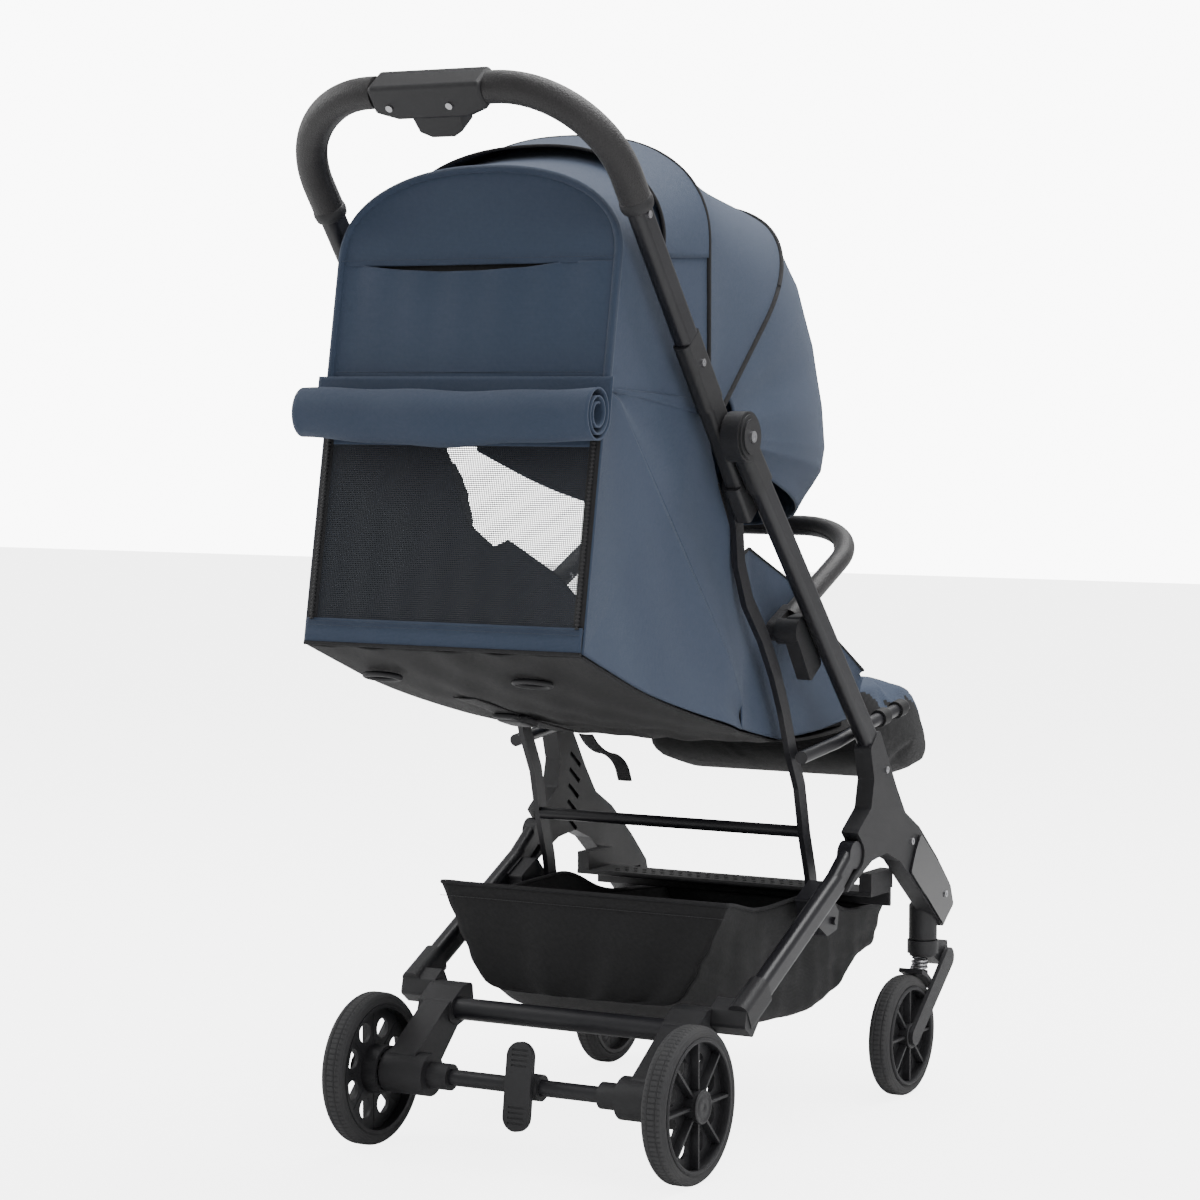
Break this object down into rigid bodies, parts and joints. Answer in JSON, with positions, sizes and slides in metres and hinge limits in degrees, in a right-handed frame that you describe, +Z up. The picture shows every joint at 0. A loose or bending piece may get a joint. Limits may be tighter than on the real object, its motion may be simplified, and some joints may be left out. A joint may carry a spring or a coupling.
{
  "type": "pet stroller",
  "caption": "Folding pet stroller with a canopied fabric cabin, mesh rear window, bumper bar, underslung basket, braked rear wheels and sprung swivelling front wheels.",
  "frame": {"origin": "centre of the bounding box in X and Y, on the ground the wheels stand on", "axes": "+Z up, -Y the way it rolls forwards, +X the stroller's left side"},
  "size_m": [0.4012, 0.8408, 1.0297],
  "materials": {
    "frame_tube": "satin powder coat",
    "moulding": "fine grain",
    "gloss_cover": "polished",
    "leatherette": "grained",
    "tyre": "matt",
    "steel": "plated",
    "bow": "satin",
    "canvas": "woven, matt",
    "mesh": "open weave",
    "basket_cloth": "woven, matt",
    "pad": "quilted",
    "webbing": "ribbed webbing"
  },
  "bodies": {
    "frame": {"front_legs": "frame_tube", "y_brackets": "moulding", "arm_covers": "gloss_cover", "caster_stems": "moulding", "hinge_knuckles": "moulding", "foot_plate": "moulding", "bumper_sockets": "moulding", "seat_rails": "frame_tube", "strap_loops": "webbing", "seat_board": "moulding", "frame_screws": "steel", "rear_bow": "bow", "canopy_rear": "canvas", "cabin_sides_upper": "canvas", "cabin_sides_lower": "canvas", "window_mesh": "mesh", "window_hem": "canvas", "back_panel": "canvas", "window_flap": "canvas", "bag_floor": "canvas", "seat_pad": "pad", "leg_rest": "canvas", "basket": "basket_cloth", "recline_strap": "webbing"},
    "handle": {"handle_tubes": "frame_tube", "handle_grips": "leatherette", "handle_case": "moulding", "joint_sleeves": "moulding", "handle_screws": "steel"},
    "fold_trigger": {"fold_trigger": "moulding"},
    "lock_slide": {"lock_slide": "moulding"},
    "rear_legs": {"rear_leg_tubes": "frame_tube", "rear_feet": "moulding", "rear_cross_tube": "frame_tube", "axle_tube": "frame_tube"},
    "links": {"link_bars": "frame_tube", "link_crossbar": "frame_tube"},
    "bumper": {"bumper_bar": "leatherette"},
    "mid_bow": {"middle_bow": "bow"},
    "front_bow": {"front_bow": "bow", "canopy_middle": "canvas"},
    "visor": {"visor": "canvas"},
    "backrest": {"backrest_pad": "pad"},
    "brake_pedal": {"brake_pedal": "moulding"},
    "brake_pin_left": {"brake_pin_left": "steel"},
    "brake_pin_right": {"brake_pin_right": "steel"},
    "rear_wheel_left": {"rear_rim_left": "moulding", "rear_tyre_left": "tyre"},
    "caster_left": {"caster_fork_left": "moulding", "spring_left": "steel"},
    "swing_left": {"swing_arm_left": "moulding"},
    "front_wheel_left": {"front_rim_left": "moulding", "front_tyre_left": "tyre"},
    "rear_wheel_right": {"rear_rim_right": "moulding", "rear_tyre_right": "tyre"},
    "caster_right": {"caster_fork_right": "moulding", "spring_right": "steel"},
    "swing_right": {"swing_arm_right": "moulding"},
    "front_wheel_right": {"front_rim_right": "moulding", "front_tyre_right": "tyre"}
  },
  "joints": [
    {"name": "handle_fold", "type": "hinge", "parent": "frame", "child": "handle", "pos_m": [0, 0.15706, 0.697], "axis": [1, 0, 0], "range_deg": [0, 140], "deforming": ["cabin_sides_lower", "window_mesh", "window_hem", "bag_floor", "backrest_pad", "recline_strap"]},
    {"name": "rear_fold", "type": "hinge", "parent": "frame", "child": "rear_legs", "pos_m": [0, -0.08494, 0.272], "axis": [1, 0, 0], "range_deg": [0, 72.1]},
    {"name": "link_fold", "type": "hinge", "parent": "rear_legs", "child": "links", "pos_m": [0, -0.06894, 0.206], "axis": [1, 0, 0], "range_deg": [-76.6, 0]},
    {"name": "bumper_fold", "type": "hinge", "parent": "frame", "child": "bumper", "pos_m": [0, 0.00606, 0.503], "axis": [1, 0, 0], "range_deg": [0, 15.1]},
    {"name": "trigger_pull", "type": "slide", "parent": "handle", "child": "fold_trigger", "axis": [0, 0.6143, 0.7891], "range_m": [0, 0.005], "stiffness_N_per_m": 900, "springref_m": -0.002},
    {"name": "lock_shift", "type": "slide", "parent": "handle", "child": "lock_slide", "axis": [1, 0, 0], "range_m": [0, 0.008]},
    {"name": "canopy_fold", "type": "hinge", "parent": "frame", "child": "mid_bow", "pos_m": [0, 0.15706, 0.697], "axis": [-1, 0, 0], "range_deg": [0, 29], "deforming": ["canopy_rear", "canopy_middle", "visor"]},
    {"name": "canopy_front_fold", "type": "hinge", "parent": "mid_bow", "child": "front_bow", "pos_m": [0, 0.15706, 0.697], "axis": [-1, 0, 0], "range_deg": [0, 40.1], "deforming": ["canopy_rear", "canopy_middle", "visor"]},
    {"name": "visor_fold", "type": "hinge", "parent": "front_bow", "child": "visor", "pos_m": [0, 0.15706, 0.697], "axis": [-1, 0, 0], "range_deg": [0, 36.1], "deforming": ["canopy_rear", "canopy_middle", "visor"]},
    {"name": "backrest_recline", "type": "hinge", "parent": "frame", "child": "backrest", "pos_m": [0, -0.01194, 0.402], "axis": [1, 0, 0], "range_deg": [0, 54]},
    {"name": "brake_press", "type": "hinge", "parent": "rear_legs", "child": "brake_pedal", "pos_m": [0, 0.24056, 0.075], "axis": [1, 0, 0], "range_deg": [0, 18]},
    {"name": "pin_left_slide", "type": "slide", "parent": "rear_legs", "child": "brake_pin_left", "axis": [1, 0, 0], "range_m": [0, 0.005]},
    {"name": "pin_right_slide", "type": "slide", "parent": "rear_legs", "child": "brake_pin_right", "axis": [-1, 0, 0], "range_m": [0, 0.005]},
    {"name": "rear_wheel_left_spin", "type": "hinge", "parent": "rear_legs", "child": "rear_wheel_left", "pos_m": [0.1767, 0.24056, 0.075], "axis": [1, 0, 0], "continuous": true},
    {"name": "caster_left_swivel", "type": "hinge", "parent": "frame", "child": "caster_left", "pos_m": [0.1767, -0.28294, 0.15], "axis": [0, 0, 1], "continuous": true},
    {"name": "swing_left", "type": "hinge", "parent": "caster_left", "child": "swing_left", "pos_m": [0.1767, -0.31594, 0.134], "axis": [1, 0, 0], "range_deg": [0, 4], "stiffness_Nm_per_rad": 15, "springref_deg": -14.32, "deforming": ["spring_left"]},
    {"name": "front_wheel_left_spin", "type": "hinge", "parent": "swing_left", "child": "front_wheel_left", "pos_m": [0.1767, -0.23094, 0.063], "axis": [1, 0, 0], "continuous": true},
    {"name": "rear_wheel_right_spin", "type": "hinge", "parent": "rear_legs", "child": "rear_wheel_right", "pos_m": [-0.1767, 0.24056, 0.075], "axis": [1, 0, 0], "continuous": true},
    {"name": "caster_right_swivel", "type": "hinge", "parent": "frame", "child": "caster_right", "pos_m": [-0.1767, -0.28294, 0.15], "axis": [0, 0, 1], "continuous": true},
    {"name": "swing_right", "type": "hinge", "parent": "caster_right", "child": "swing_right", "pos_m": [-0.1767, -0.31594, 0.134], "axis": [1, 0, 0], "range_deg": [0, 4], "stiffness_Nm_per_rad": 15, "springref_deg": -14.32, "deforming": ["spring_right"]},
    {"name": "front_wheel_right_spin", "type": "hinge", "parent": "swing_right", "child": "front_wheel_right", "pos_m": [-0.1767, -0.23094, 0.063], "axis": [1, 0, 0], "continuous": true}
  ],
  "couplings": [
    {"joint": "rear_fold", "follows": "handle_fold", "ratio": 0.51429},
    {"joint": "link_fold", "follows": "handle_fold", "ratio": -0.54643},
    {"joint": "bumper_fold", "follows": "handle_fold", "ratio": 0.10714},
    {"joint": "canopy_front_fold", "follows": "canopy_fold", "ratio": 1.38},
    {"joint": "visor_fold", "follows": "canopy_fold", "ratio": 1.24},
    {"joint": "pin_left_slide", "follows": "brake_press", "m_per_rad": 0.0159},
    {"joint": "pin_right_slide", "follows": "brake_press", "m_per_rad": 0.0159}
  ]
}
